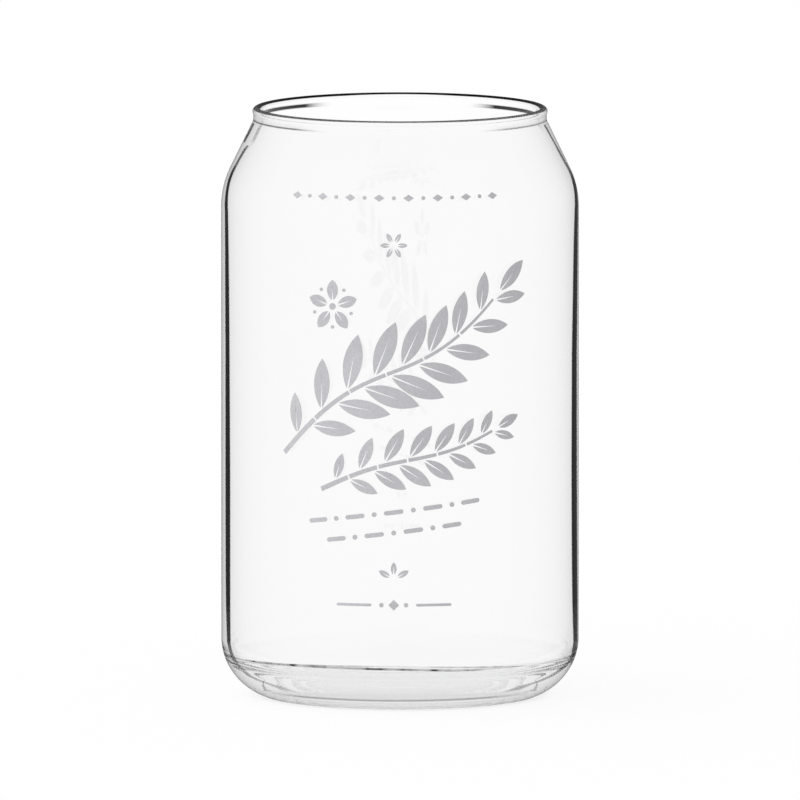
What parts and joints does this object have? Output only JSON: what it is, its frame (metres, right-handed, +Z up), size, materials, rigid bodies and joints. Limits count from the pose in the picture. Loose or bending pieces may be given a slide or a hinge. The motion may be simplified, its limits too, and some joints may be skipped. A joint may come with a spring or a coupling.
{
  "type": "can shaped glass",
  "caption": "Clear drinking glass shaped like a drinks can: straight body, sloping shoulder, rounded heel, beaded rim, and a grey printed sprig on the front.",
  "frame": {"origin": "centre of the foot ring, on the plane that the glass stands on", "axes": "+Z up along the glass's axis, from the foot towards the mouth; the print faces -Y, with its own right towards +X"},
  "size_m": [0.08, 0.0801, 0.132],
  "materials": {
    "clear_glass": "fire-polished clear soda-lime glass, smooth inside and out",
    "grey_enamel": "fired screen-print enamel, satin mid grey"
  },
  "bodies": {
    "root": {"glass": "clear_glass", "print": "grey_enamel"}
  },
  "joints": []
}
